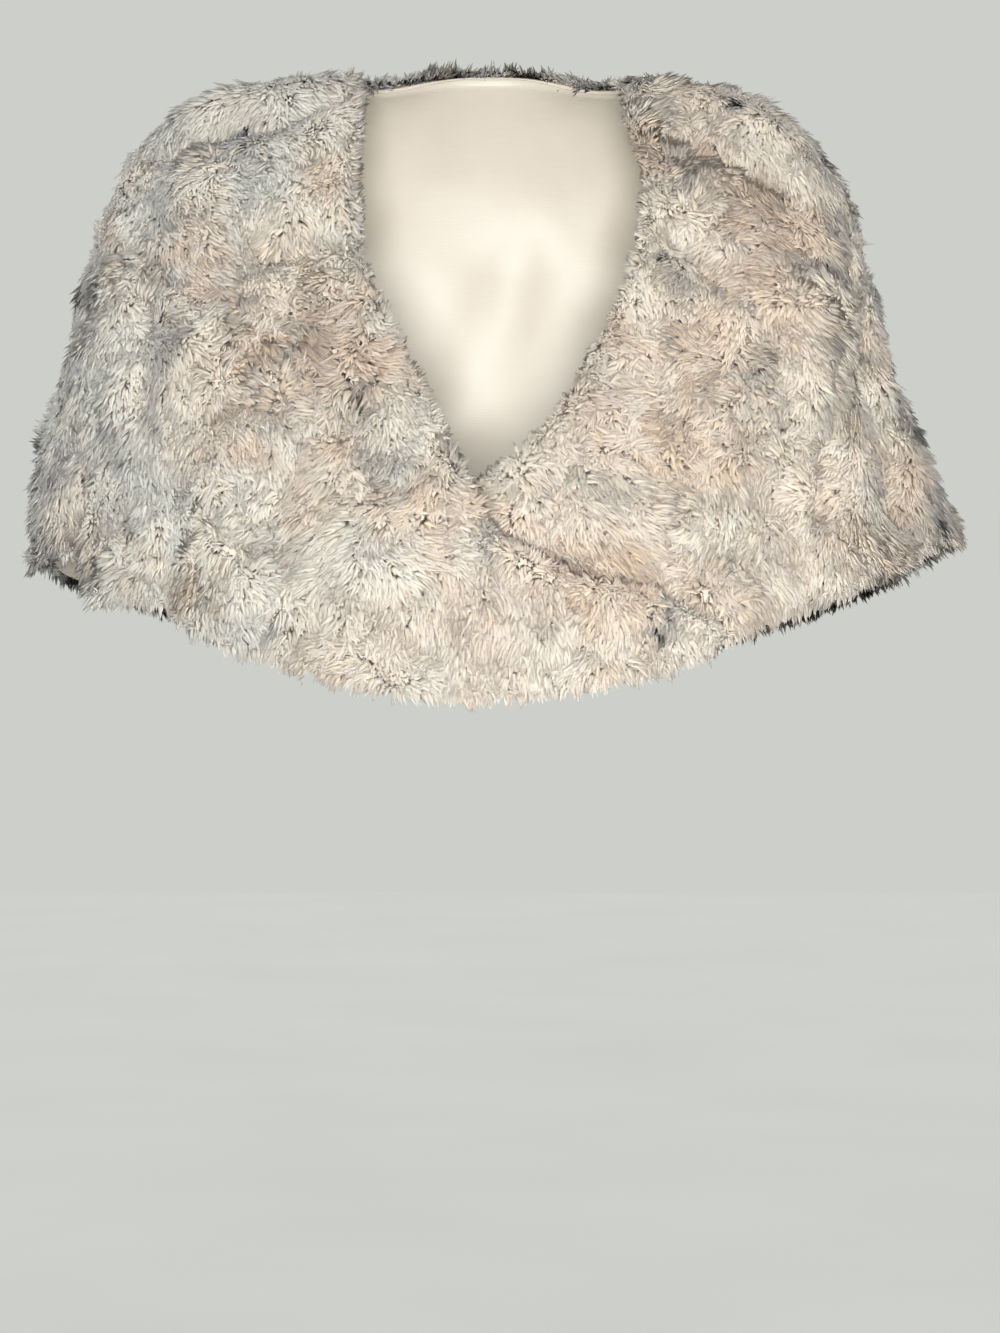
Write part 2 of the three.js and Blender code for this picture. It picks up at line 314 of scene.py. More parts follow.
def wallFaces(columns, rows):
    # quads of a closed wall over a grid: inner layer, outer layer and the rim between them
    index = np.arange(columns * rows).reshape(columns, rows)
    a, b, c, d = index[:-1, :-1], index[1:, :-1], index[1:, 1:], index[:-1, 1:]
    inner = np.stack([a, b, c, d], -1).reshape(-1, 4)
    outer = np.stack([a, d, c, b], -1).reshape(-1, 4) + columns * rows
    rim = np.concatenate([index[:-1, 0], index[-1, :-1], index[:0:-1, -1], index[0, :0:-1]])
    after = np.roll(rim, -1)
    sides = np.stack([rim, rim + columns * rows, after + columns * rows, after], -1)
    return np.concatenate([inner, outer, sides])


def addWall(name, inner, outer, material):
    # a closed wall between two grids, its faces turned outwards if its volume comes out negative
    columns, rows = inner.shape[:2]
    points = np.concatenate([inner.reshape(-1, 3), outer.reshape(-1, 3)])
    faces = wallFaces(columns, rows)
    p = points[faces]
    volume = np.einsum("ij,ij->", p[:, 0], np.cross(p[:, 1], p[:, 2]) + np.cross(p[:, 2], p[:, 3]))
    if volume < 0:
        faces = faces[:, ::-1]
    return addMesh(name, points, faces, material)


def noLift(round, down):
    # zero everywhere: the panel lies straight on the form
    return np.zeros(np.shape(round))


panels = {
    "back": {"neck": neckOfBack, "hem": hemOfBack, "lift": noLift, "columns": 150, "rows": 90},
    "front_right": {"neck": neckOfRight, "hem": hemOfRight, "lift": liftOverLeft, "columns": 140,
                    "rows": 90},
    "front_left": {"neck": neckOfLeft, "hem": hemOfLeft, "lift": noLift, "columns": 140, "rows": 90},
}


def placed(panel, columns, rows):
    # the panel with its round and down worked out on a grid of its own
    round, down = panelPlaces(panel["neck"], panel["hem"], columns, rows)
    return {**panel, "round": round, "down": down}


for name, panel in panels.items():
    panels[name] = placed(panel, panel["columns"], panel["rows"])
print("worn form set")


furFinish = {
    "cream": "#F7E7CE",
    # beige also paints the warm light on the wearer's left side
    "beige": "#E9C9A9",      # soft peach-beige patches
    "brown": "#B5927C",      # pinkish-brown patches
    # grey also paints the shade on the wearer's right side
    "grey": "#D4D2C3",       # cooler patches
    # painted shade: each strand is drawn darker towards its root, where the strands over it shade it
    "rootShade": 0.92,       # brightness at a strand's root, against 1 from its middle on
    "hairScale": (6.5, 90.0, 0.8),   # hairs across a strand, strands told apart, changes along it
    "streakLow": 0.84,       # brightness of the darkest and palest hairs
    "streakHigh": 1.06,
    "hairBump": 0.25,
    "hairMm": 0.4,
    "roughness": 0.80,
    "specular": 0.25,
    "sheen": 0.30,
    "sheenRoughness": 0.5,
    "scatter": 0.65,         # light that passes on from strand to strand
    "scatterMm": 4.0,
    "scatterShares": (1.0, 0.85, 0.7),
}


def crushedAcrylicPile():
    # acrylic pile, knitted into a backing, sheared and steam-crushed: matt and soft, with fine hairs side
    # by side; brown, warm and cool are attributes of each strand's root, along runs from root to tip and
    # across from side to side, so the hairs meet at the tip; the strand's own normal is added to its
    # cloth's, which softens the light as a real pile's thousands of hairs do
    material, tree, shader = newMaterial("crushedAcrylicPile")
    read = {name: addNode(tree, "ShaderNodeAttribute", {"attribute_name": name}).outputs["Fac"]
            for name in ("brown", "cool", "warm", "along", "across", "strand")}
    colour = linear(furFinish["cream"])
    for share, shade in (("cool", "grey"), ("warm", "beige"), ("brown", "brown")):
        colour = addNode(tree, "ShaderNodeMix", {"data_type": "RGBA"}, {
            0: read[share], 6: colour, 7: linear(furFinish[shade])}).outputs[2]
    place = addNode(tree, "ShaderNodeCombineXYZ", {}, {
        "X": read["across"], "Y": read["strand"], "Z": read["along"]}).outputs[0]
    spread = addNode(tree, "ShaderNodeVectorMath", {"operation": "MULTIPLY"}, {
        0: place, 1: furFinish["hairScale"]}).outputs[0]
    hairs = addNode(tree, "ShaderNodeTexNoise", {}, {
        "Vector": spread, "Scale": 1.0, "Detail": 2.0, "Roughness": 0.6}).outputs["Fac"]
    streak = addNode(tree, "ShaderNodeMapRange", {}, {
        "Value": hairs, "From Min": 0.3, "From Max": 0.7, "To Min": furFinish["streakLow"],
        "To Max": furFinish["streakHigh"]}).outputs[0]
    # painted shade: the colour darkens towards each strand's root
    paintedRootShade = addNode(tree, "ShaderNodeMapRange", {}, {
        "Value": read["along"], "From Min": 0.0, "From Max": 0.55, "To Min": furFinish["rootShade"],
        "To Max": 1.0}).outputs[0]
    # the painted root shade times the hairs' streaks sets the colour's value
    shade = addNode(tree, "ShaderNodeMath", {"operation": "MULTIPLY"}, {
        0: paintedRootShade, 1: streak}).outputs[0]
    colour = addNode(tree, "ShaderNodeHueSaturation", {}, {"Value": shade, "Color": colour}).outputs[0]
    tree.links.new(colour, shader.inputs["Base Color"])
    cloth = addNode(tree, "ShaderNodeAttribute", {"attribute_name": "clothNormal"}).outputs["Vector"]
    own = addNode(tree, "ShaderNodeNewGeometry").outputs["Normal"]
    both = addNode(tree, "ShaderNodeVectorMath", {"operation": "ADD"}, {0: cloth, 1: own}).outputs[0]
    soft = addNode(tree, "ShaderNodeVectorMath", {"operation": "NORMALIZE"}, {0: both}).outputs[0]
    bump = addNode(tree, "ShaderNodeBump", {}, {
        "Height": hairs, "Strength": furFinish["hairBump"], "Distance": furFinish["hairMm"] * mm,
        "Normal": soft}).outputs["Normal"]
    tree.links.new(bump, shader.inputs["Normal"])
    shader.inputs["Roughness"].default_value = furFinish["roughness"]
    shader.inputs["Specular IOR Level"].default_value = furFinish["specular"]
    shader.inputs["Sheen Weight"].default_value = furFinish["sheen"]
    shader.inputs["Sheen Roughness"].default_value = furFinish["sheenRoughness"]
    shader.inputs["Subsurface Weight"].default_value = furFinish["scatter"]
    shader.inputs["Subsurface Radius"].default_value = furFinish["scatterShares"]
    shader.inputs["Subsurface Scale"].default_value = furFinish["scatterMm"] * mm
    return material


liningFinish = {
    "face": "#DDD5C5",
    "shade": "#D5CCBC",
    "cloudScale": 14.0,     # to the metre
    "threadMm": 1.2,        # coarser than real satin floats, so that it shows
    "threadBump": 0.12,
    "threadHeightMm": 0.3,
    "roughness": 0.42,
    "sheen": 0.2,
}


def ivorySatin():
    # polyester satin weave, long floats pressed smooth: an even soft gloss with faint cross threads;
    # a wave texture repeats every pi / (10 · scale)
    material, tree, shader = newMaterial("ivorySatin")
    place = addNode(tree, "ShaderNodeTexCoord").outputs["Object"]
    cloudy = addNode(tree, "ShaderNodeTexNoise", {}, {
        "Vector": place, "Scale": liningFinish["cloudScale"], "Detail": 3.0})
    ramp = addNode(tree, "ShaderNodeValToRGB", {}, {"Fac": cloudy.outputs["Fac"]})
    ramp.color_ramp.elements[0].position = 0.3
    ramp.color_ramp.elements[0].color = linear(liningFinish["shade"])
    ramp.color_ramp.elements[1].position = 0.7
    ramp.color_ramp.elements[1].color = linear(liningFinish["face"])
    tree.links.new(ramp.outputs["Color"], shader.inputs["Base Color"])
    floats = addNode(tree, "ShaderNodeTexWave", {"bands_direction": "Z"}, {
        "Vector": place, "Scale": np.pi / (10 * liningFinish["threadMm"] * mm), "Distortion": 2.0,
        "Detail": 2.0})
    bump = addNode(tree, "ShaderNodeBump", {}, {
        "Height": floats.outputs["Fac"], "Strength": liningFinish["threadBump"],
        "Distance": liningFinish["threadHeightMm"] * mm})
    tree.links.new(bump.outputs["Normal"], shader.inputs["Normal"])
    shader.inputs["Roughness"].default_value = liningFinish["roughness"]
    shader.inputs["Sheen Weight"].default_value = liningFinish["sheen"]
    return material


backingFinish = {
    "yarn": "#EADFD0",
    "gap": "#DDD0BF",
    "loopMm": 3.0,
    "roughness": 0.95,
}


def knittedBacking():
    # acrylic knit that holds the pile, seen only between strands: dull and looped
    material, tree, shader = newMaterial("knittedBacking")
    place = addNode(tree, "ShaderNodeTexCoord").outputs["Object"]
    loops = addNode(tree, "ShaderNodeTexVoronoi", {}, {
        "Vector": place, "Scale": 1 / (backingFinish["loopMm"] * mm)})
    ramp = addNode(tree, "ShaderNodeValToRGB", {}, {"Fac": loops.outputs["Distance"]})
    ramp.color_ramp.elements[0].color = linear(backingFinish["yarn"])
    ramp.color_ramp.elements[1].color = linear(backingFinish["gap"])
    tree.links.new(ramp.outputs["Color"], shader.inputs["Base Color"])
    shader.inputs["Roughness"].default_value = backingFinish["roughness"]
    return material


pileMaterial = crushedAcrylicPile()
satinMaterial = ivorySatin()
backingMaterial = knittedBacking()
print("materials made")


backing = {
    "columns": 72,
    "rows": 44,
    "inner": 0.2,        # mm out from the form
    "thick": 3.6,        # knit and the dense foot of the pile
    "edgeShare": 0.45,   # of the thickness, at the neck edge and the hem
    "edgeRamp": 0.06,    # of the way down
}
lining = {
    "inner": -1.15,
    "thick": 0.7,
    "wide": (0.45, 60),          # depth of the puckers in mm, their wavelength
    "fine": (0.315, 24),
    "fineStretch": (1, 1, 0.35),   # the fine ones run down the cloth
    "seed": 300,
}


def waves(points, length, seed, count=9):
    # smooth noise of about unit size: a sum of sine waves in random directions, of about one length,
    # over the square root of their number
    rng = np.random.default_rng(seed)
    directions = unit(rng.normal(size=(count, 3)))
    lengths = length * rng.uniform(0.7, 1.5, count)
    phases = rng.uniform(0, 2 * np.pi, count)
    return np.sin(points @ (directions / lengths[:, None]).T * 2 * np.pi + phases).sum(-1) / count ** 0.5


def waveVectors(points, length, seed):
    # three such noises, as a vector
    return np.stack([waves(points, length, seed + axis) for axis in range(3)], -1)


def backingThickness(columns, rows):
    # full thickness in the middle, falling smoothly to its edge share at the neck edge and the hem
    toEdge = np.minimum(np.linspace(0, 1, rows), np.linspace(1, 0, rows))
    share = backing["edgeShare"] + (1 - backing["edgeShare"]) * smoothStep(toEdge / backing["edgeRamp"])
    return backing["thick"] * np.ones((columns, 1)) * share


def puckersOf(panel, seed):
    # (wide · |noise| + fine · |noise|) · sqrt(sin(pi · share down)): slack that dies out at the edges
    points = hollowPoint(panel["round"], panel["down"])
    (wideDeep, wideLong), (fineDeep, fineLong) = lining["wide"], lining["fine"]
    wide = wideDeep * np.abs(waves(points, wideLong, seed))
    fine = fineDeep * np.abs(waves(points * lining["fineStretch"], fineLong, seed + 1))
    share = np.linspace(0, 1, points.shape[1])
    return (wide + fine) * np.sin(np.pi * share) ** 0.5


backings, linings = {}, {}
for number, (name, panel) in enumerate(panels.items()):
    coarse = placed(panel, backing["columns"], backing["rows"])
    inner = clothPoints(coarse, backing["inner"])
    outer = clothPoints(coarse, backing["inner"] + backingThickness(*coarse["round"].shape))
    backings[name] = addWall("backing_" + name, inner, outer, backingMaterial)
    slack = puckersOf(coarse, lining["seed"] + 10 * number)
    inner = clothPoints(coarse, lining["inner"] - slack)
    outer = clothPoints(coarse, lining["inner"] + lining["thick"] - slack)
    linings[name] = addWall("satin_" + name, inner, outer, satinMaterial)
    for piece, slot, node in ((backings[name], "faux_fur", name),
                              (linings[name], "satin_lining", "lining_" + name)):
        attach(piece, "root")
        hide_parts(node)
print("backing and lining made")


# soft patches of colour on the front: x, z, reach across, reach down in mm, strength
brownPatches = np.array([
    (-149, -117, 22, 19, 0.75), (-74, -155, 28, 24, 0.62), (-131, -200, 22, 22, 0.60),
    (-158, -84, 18, 14, 0.50), (-214, -249, 15, 17, 0.45), (112, -41, 22, 13, 0.85),
    (222, -228, 19, 20, 0.60), (-70, -196, 30, 12, 0.35), (150, -92, 26, 10, 0.45),
])
warmPatches = np.array([
    (-84, -62, 19, 15, 0.6), (-149, -282, 19, 16, 0.6), (148, -105, 22, 18, 0.8),
    (130, -70, 22, 18, 0.7), (104, -158, 26, 32, 0.8), (103, -214, 26, 22, 0.7),
    (51, -261, 24, 18, 0.8), (55, -291, 32, 13, 0.7), (-75, -214, 20, 14, 0.7),
    (-112, -165, 20, 42, 0.6), (-20, -250, 40, 26, 0.5), (-78, -150, 34, 30, 0.5),
])
# seeded noise of the patches: strength, wavelength in mm, seed
patchNoise = {
    "wobble": (7, 34, 81),        # mm that the patches' outlines wander
    "uneven": (0.35, 20, 31),
    "brown": (0.34, 50, 11),
    "brownFine": (0.6, 22, 12),   # share of the brown noise
    "warm": (0.22, 48, 13),
    "warmFine": (0.12, 20, 15),
    "cool": (0.34, 55, 14),
}


def patchSum(places, table):
    # the bells of a table added up, each strength · exp(-(x/reach)² - (z/reach)²)
    awayX = (places[:, :1] - table[:, 0]) / table[:, 2]
    awayZ = (places[:, 2:] - table[:, 1]) / table[:, 3]
    return (table[:, 4] * np.exp(-awayX ** 2 - awayZ ** 2)).sum(-1)


def noiseOf(points, label):
    # strength · noise, as patchNoise gives them
    strength, length, seed = patchNoise[label]
    return strength * waves(points, length, seed)


def patchValues(roots):
    # how brown, warm and cool the pile is at a root: placed patches in front plus noise all round;
    # painted light and shade: warmer to the wearer's left, the lit side, greyer to the wearer's right,
    # the shaded side, and less grey at the brightly lit low centre of the front
    x, y, z = roots.T
    front = smoothStep((20 - y) / 60)
    strength, length, seed = patchNoise["wobble"]
    wobbled = roots + strength * waveVectors(roots, length, seed)
    uneven = 0.85 + noiseOf(roots, "uneven")
    brown = patchSum(wobbled, brownPatches) * front * uneven
    warm = patchSum(wobbled, warmPatches) * front * uneven
    share, length, seed = patchNoise["brown"]
    specks = waves(roots, length, seed) + noiseOf(roots, "brownFine") - 0.9
    brown += share * np.maximum(specks, 0) * (1.8 - front)
    # painted light: warmth rising towards the wearer's left, the lit side
    warm += 0.24 + noiseOf(roots, "warm") + noiseOf(roots, "warmFine") + 0.16 * np.clip(x / 200, -1, 1)
    # painted shade: grey rising towards the wearer's right, the shaded side
    cool = 0.42 + noiseOf(roots, "cool") - 0.48 * np.clip((x + 50) / 160, -1, 1)
    # painted light: grey taken out at the brightly lit low centre of the front
    low = smoothStep((-z - 190) / 110) * smoothStep(1.2 - np.abs(x) / 170) * front
    return np.clip(brown, 0, 0.9), np.clip(warm, 0, 1), np.clip(cool - 0.4 * low, 0, 0.85)


pile = {
    "strandsPerPiece": 48500,
    "length": 12.5,          # mm
    "lockLength": (0.85, 1.15),     # shortest and longest, as shares of the length
    "strandLength": (0.82, 1.12),
    "width": 2.6,
    "widthShare": (0.35, 0.62),     # of the width, on each side of the middle
    "rootDepth": 3.4,        # how far out from the form a strand starts
    "bendAt": 0.42,          # share of the length
    "leanLow": 56.0,         # degrees from upright below the bend, and its limits
    "leanLowLimits": (8, 80),
    "leanHigh": 82.0,        # above the bend
    "leanHighLimits": (42, 96),
    "riseLow": 11.0,         # degrees straighter for each unit of the height noise
    "riseHigh": 15.0,
    "lockMm": 7.0,           # size of a lock of strands
    "bigLockMm": 17.0,
    "lockTurn": 0.9,         # how far a lock's own direction turns the nap
    "bigLockTurn": 1.1,
    "gatherBend": 0.10,      # how far strands are drawn in to their lock
    "gatherTip": 0.32,
    "swerve": 0.16,
    "roll": 0.6,             # radians about the strand
    "looseShare": 0.28,      # short underfur that fills the partings
    "looseSize": 0.62,
}
nap = {
    "fall": 1.15,
    "swirl": (0.85, 75, 51),        # strength, wavelength in mm, seed
    "fineSwirl": (0.45, 34, 61),
    "outOverEdge": 2.2,
    "lumps": (0.42, 30, 95),
    "fineLumps": (0.26, 14, 98),
    "clothShare": 1.5,              # the cloth's normal against a strand's own
}


def hashed(cells, salt):
    # a steady number from 0 to 1 for each whole-number cell: its numbers times primes, mixed by shifts
    value = np.full(cells.shape[:-1], salt * 2654435761, np.uint64)
    for axis, prime in enumerate((73856093, 19349663, 83492791)):
        value ^= (cells[..., axis] + 4096).astype(np.uint64) * np.uint64(prime)
    for shift, prime in ((15, 739982445), (12, 695872825), (15, 1)):
        value = (value ^ (value >> np.uint64(shift))) * np.uint64(prime) & np.uint64(0xFFFFFFFF)
    return value.astype(float) / 0xFFFFFFFF


def lockOf(points, size, seed):
    # nearest centre of a jittered lattice: each strand's lock, and three random numbers of the lock
    base = np.floor(points / size).astype(int)
    nearest = np.full(len(points), np.inf)
    centre = np.zeros_like(points)
    numbers = np.zeros_like(points)
    for step in itertools.product((-1, 0, 1), repeat=3):
        cell = base + step
        jitter = np.stack([hashed(cell, seed + k) for k in range(3)], -1)
        place = (cell + jitter) * size
        away = ((place - points) ** 2).sum(-1)
        closer = away < nearest
        nearest[closer] = away[closer]
        centre[closer] = place[closer]
        numbers[closer] = np.stack([hashed(cell, seed + 10 + k) for k in range(3)], -1)[closer]
    return centre, numbers


def alongCloth(vectors, normals):
    # the part of each vector that lies in the cloth: v - n (v · n)
    return vectors - normals * (vectors * normals).sum(-1, keepdims=True)


def leaning(normals, flows, lean):
    # upright · cos(lean) + nap · sin(lean)
    return normals * np.cos(lean)[:, None] + flows * np.sin(lean)[:, None]


def strandMesh(roots, normals, flows, size, seed):
    # each a closed four-sided sliver: a root, two sides at the bend and a tip, which leans from the
    # normal towards the nap and is drawn in to its lock
    rng = np.random.default_rng(seed)
    count = len(roots)
    lock, lockNumber = lockOf(roots, pile["lockMm"], 100)
    bigLockNumber = lockOf(roots, pile["bigLockMm"], 200)[1]
    flows = flows + pile["lockTurn"] * (lockNumber - 0.5) + pile["bigLockTurn"] * (bigLockNumber - 0.5)
    loose = rng.uniform(0, 1, count) < pile["looseShare"]
    flows = unit(alongCloth(np.where(loose[:, None], rng.normal(0, 1, (count, 3)), flows), normals))
    size = size * np.where(loose, pile["looseSize"], 1.0)
    rolling = waves(roots, 32, 41)
    high = 0.8 * rolling + 0.35 * waves(roots, 13, 42) + 1.1 * (bigLockNumber[:, 0] - 0.5)
    high = high + 0.8 * (lockNumber[:, 1] - 0.5) + rng.normal(0, 0.25, count)
    leanLow = np.radians(np.clip(pile["leanLow"] - pile["riseLow"] * high, *pile["leanLowLimits"]))
    leanHigh = np.radians(np.clip(pile["leanHigh"] - pile["riseHigh"] * high, *pile["leanHighLimits"]))
    size = size * (1 + 0.10 * rolling)
    shortest, longest = pile["lockLength"]
    length = pile["length"] * size * (shortest + (longest - shortest) * lockNumber[:, 2])
    length = (length * rng.uniform(*pile["strandLength"], count))[:, None]
    bend = roots + leaning(normals, flows, leanLow) * pile["bendAt"] * length
    swerve = np.cross(normals, flows) * rng.normal(0, pile["swerve"], (count, 1))
    tip = bend + leaning(normals, flows + swerve, leanHigh) * (1 - pile["bendAt"]) * length
    inwards = alongCloth(lock - roots, normals)
    bend += pile["gatherBend"] * inwards
    tip += pile["gatherTip"] * inwards
    lengthwise = unit(tip - roots)
    side = unit(np.cross(lengthwise, normals))
    roll = rng.uniform(-pile["roll"], pile["roll"], (count, 1))
    side = side * np.cos(roll) + np.cross(lengthwise, side) * np.sin(roll)
    half = (pile["width"] * np.sqrt(size) * rng.uniform(*pile["widthShare"], count))[:, None]
    points = np.stack([roots, bend - side * half, bend + side * half, tip], 1)
    pattern = np.array([(0, 2, 1), (3, 1, 2), (0, 1, 3), (0, 3, 2)])
    inside = np.einsum("ij,ij->i", np.cross(points[:, 1] - roots, points[:, 2] - roots), tip - roots)
    turned = np.where((inside < 0)[:, None, None], pattern[:, ::-1], pattern)
    faces = np.arange(count)[:, None, None] * 4 + turned
    return points.reshape(-1, 3), faces.reshape(-1, 3), rng.uniform(0, 1, count)


def addStrandMap(piece, count):
    # each strand has its own cell of the map, in the order of the roots, so near cells hold near colours
    side = int(np.ceil(np.sqrt(count)))
    cell = np.arange(count)
    corner = np.stack([cell % side, cell // side], -1)[:, None] / side
    shape = np.array([(0.5, 0.04), (0.08, 0.5), (0.92, 0.5), (0.5, 0.96)]) / side
    places = (corner + shape).reshape(-1, 2)
    layer = piece.data.uv_layers.new(name="OFBake")
    index = np.empty(len(piece.data.loops), np.int32)
    piece.data.loops.foreach_get("vertex_index", index)
    layer.data.foreach_set("uv", places[index].astype(np.float32).ravel())


def crushed(roots, normals):
    # unit(normal + noise of two wavelengths) · the cloth's share, for the soft lumps of a crushed pile
    lean = np.zeros_like(roots)
    for strength, length, seed in (nap["lumps"], nap["fineLumps"]):
        lean += strength * waveVectors(roots, length, seed)
    return nap["clothShare"] * unit(normals + lean)


def addPile(name, roots, normals, flows, size, seed, edgeShadow=0.0, facing=None):
    # strands with their colours and map; the painted shadow beside the right front's edge is added to the
    # brown, and facing is the cloth's normal where the strands start off it
    points, faces, strand = strandMesh(roots, normals, flows, size, seed)
    piece = addMesh(name, points, faces, pileMaterial)
    brown, warm, cool = patchValues(roots)
    # the painted shadow along the right front's edge goes into the brown
    brown = np.clip(brown + edgeShadow, 0, 1)
    for label, values in (("brown", brown), ("warm", warm), ("cool", cool), ("strand", strand)):
        addAttribute(piece, label, np.repeat(values, 4))
    addAttribute(piece, "along", np.tile([0.0, 0.5, 0.5, 1.0], len(roots)))
    addAttribute(piece, "across", np.tile([0.5, 0.0, 1.0, 0.5], len(roots)))
    shown = crushed(roots, normals if facing is None else facing)
    layer = piece.data.attributes.new("clothNormal", "FLOAT_VECTOR", "POINT")
    layer.data.foreach_set("vector", np.repeat(shown, 4, axis=0).astype(np.float32).ravel())
    addStrandMap(piece, len(roots))
    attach(piece, "root")
    return piece


def scattered(grid, weights, count, seed):
    # places spread evenly over a grid of points: cell numbers by weighted area, and where in the cell
    rng = np.random.default_rng(seed)
    across = grid[1:, :-1] - grid[:-1, :-1]
    along = grid[:-1, 1:] - grid[:-1, :-1]
    area = np.linalg.norm(np.cross(across, along), axis=-1) * weights[:-1, :-1]
    total = np.concatenate([[0], np.cumsum(area.ravel())])
    wanted = (np.arange(count) + rng.uniform(0, 1, count)) / count * total[-1]
    cell = np.clip(np.searchsorted(total, wanted) - 1, 0, area.size - 1)
    return np.divmod(cell, area.shape[1]), rng.uniform(0, 1, count), rng.uniform(0, 1, count)


def fromGrid(values, cell, s, t):
    # bilinear: the four corners of a cell weighted by s across and t along
    i, j = cell
    s, t = s[:, None], t[:, None]
    first = values[i, j] * (1 - s) + values[i + 1, j] * s
    second = values[i, j + 1] * (1 - s) + values[i + 1, j + 1] * s
    return first * (1 - t) + second * t


def napOf(roots, outEdge, nearEdge):
    # fall + swirls of two wavelengths + out over a near edge
    flows = np.tile([0.0, 0.0, -nap["fall"]], (len(roots), 1))
    for strength, length, seed in (nap["swirl"], nap["fineSwirl"]):
        flows += strength * waveVectors(roots, length, seed)
    return flows + nap["outOverEdge"] * outEdge * nearEdge[:, None]


def panelFrame(panel):
    # the folded surface's points, outward normals and downward directions, from steps over the grid
    points = clothPoints(panel, pile["rootDepth"])
    sideways, downwards = unit(np.gradient(points, axis=0)), unit(np.gradient(points, axis=1))
    normals = unit(np.cross(downwards, sideways))
    outward = outwardAt(panel["round"], panel["down"])
    normals *= np.sign((normals * outward).sum(-1, keepdims=True))
    return points, normals, downwards


edgeLay = {"neckReach": 11.0, "hemReach": 13.0, "shorter": 0.32, "hemShare": 0.6}   # mm, shares
# the left front's pile under and just above the right front's edge, with its ramps in shares of down
underLap = {
    "from": 0.02,
    "ramp": 0.03,
    "besideFrom": -0.07,
    "besideRamp": 0.06,
    "besideShare": 0.6,      # pressed this much, against the hidden stretch
    "endRound": (1.5, 2.0),  # degrees short of the tip, and the ramp there
    "thinner": 0.75,
    "shorter": 0.62,
    # brown painted just above the right front's edge as the shadow under it
    "paintedEdgeShadow": 0.75,
}


def lapOver(panel):
    # how far each place of the left front lies under the right front, and beside its edge, 0 to 1
    if panel is not panels["front_left"]:
        return np.zeros(panel["round"].shape), np.zeros(panel["round"].shape)
    past = panel["down"] - downAtRound(neckOfRight, panel["round"])
    short, ramp = underLap["endRound"]
    reach = smoothStep((neckOfRight[-1, 0] - short - panel["round"]) / ramp)
    hidden = smoothStep((past - underLap["from"]) / underLap["ramp"]) * reach
    beside = smoothStep((past - underLap["besideFrom"]) / underLap["besideRamp"]) * reach
    return hidden, beside


def addPanelPile(name, panel, part, count, seed):
    # strands over a span of columns, given as shares: shorter and turned outwards near the edges,
    # sparse and pressed flat under the other front, and browned just above its edge as a painted shadow
    points, normals, downwards = panelFrame(panel)
    columns, rows = points.shape[:2]
    column = np.linspace(0, 1, columns)[:, None] * np.ones(rows)
    row = np.ones((columns, 1)) * np.linspace(0, 1, rows)
    hidden, beside = lapOver(panel)
    weights = ((column >= part[0]) & (column <= part[1])) * (1 - underLap["thinner"] * hidden)
    cell, s, t = scattered(points, weights, count, seed)
    share = fromGrid(row[..., None], cell, s, t)[:, 0]
    deep = np.linalg.norm(np.diff(points, axis=1), axis=-1).sum(1)[cell[0]]
    nearNeck = smoothStep(1 - share * deep / edgeLay["neckReach"])
    nearHem = smoothStep(1 - (1 - share) * deep / edgeLay["hemReach"])
    outEdge = unit(fromGrid(downwards, cell, s, t)) * (nearHem - nearNeck)[:, None]
    roots, normal = fromGrid(points, cell, s, t), unit(fromGrid(normals, cell, s, t))
    flows = napOf(roots, outEdge, np.maximum(nearNeck, nearHem))
    pressed = np.maximum(hidden, underLap["besideShare"] * beside)
    pressed = fromGrid(pressed[..., None], cell, s, t)[:, 0]
    # painted shadow: brown added to the left front's pile just above the right front's edge, which shades
    # it
    edgeShadow = underLap["paintedEdgeShadow"] * fromGrid(beside[..., None], cell, s, t)[:, 0]
    nearRim = np.maximum(nearNeck, edgeLay["hemShare"] * nearHem)
    size = (1 - underLap["shorter"] * pressed) * (1 - edgeLay["shorter"] * nearRim)
    return addPile(name, roots, normal, flows, size, seed, edgeShadow)


rim = {
    "perMm": 8.0,               # strands to a millimetre of edge
    "size": 0.5,
    "acrossWall": (-1.2, 2.0),  # mm out from the pile's roots
    "inside": (0.5, 2.5),       # mm in from the edge
    "turn": (-18, 72),          # degrees from straight out of the cloth towards its face
    "facing": 0.2,
    "out": 0.7,
    "fall": 0.5,
    "swirl": (0.5, 30, 71),
}
rims = {
    "back": [("back", "neck"), ("back", "hem")],
    "front_right": [("front_right", "neck"), ("front_right", "hem"), ("front_right", "end")],
    "front_left": [("front_left", "neck"), ("front_left", "hem"), ("front_left", "end")],
}


def rimRun(panel, side):
    # a line of the panel's edge, the cloth's normal there and the direction out of the cloth
    points, normals, downwards = panelFrame(panel)
    if side == "neck":
        return points[:, 0], normals[:, 0], -downwards[:, 0]
    if side == "hem":
        return points[:, -1], normals[:, -1], downwards[:, -1]
    return points[-1], normals[-1], unit(points[-1] - points[-2])


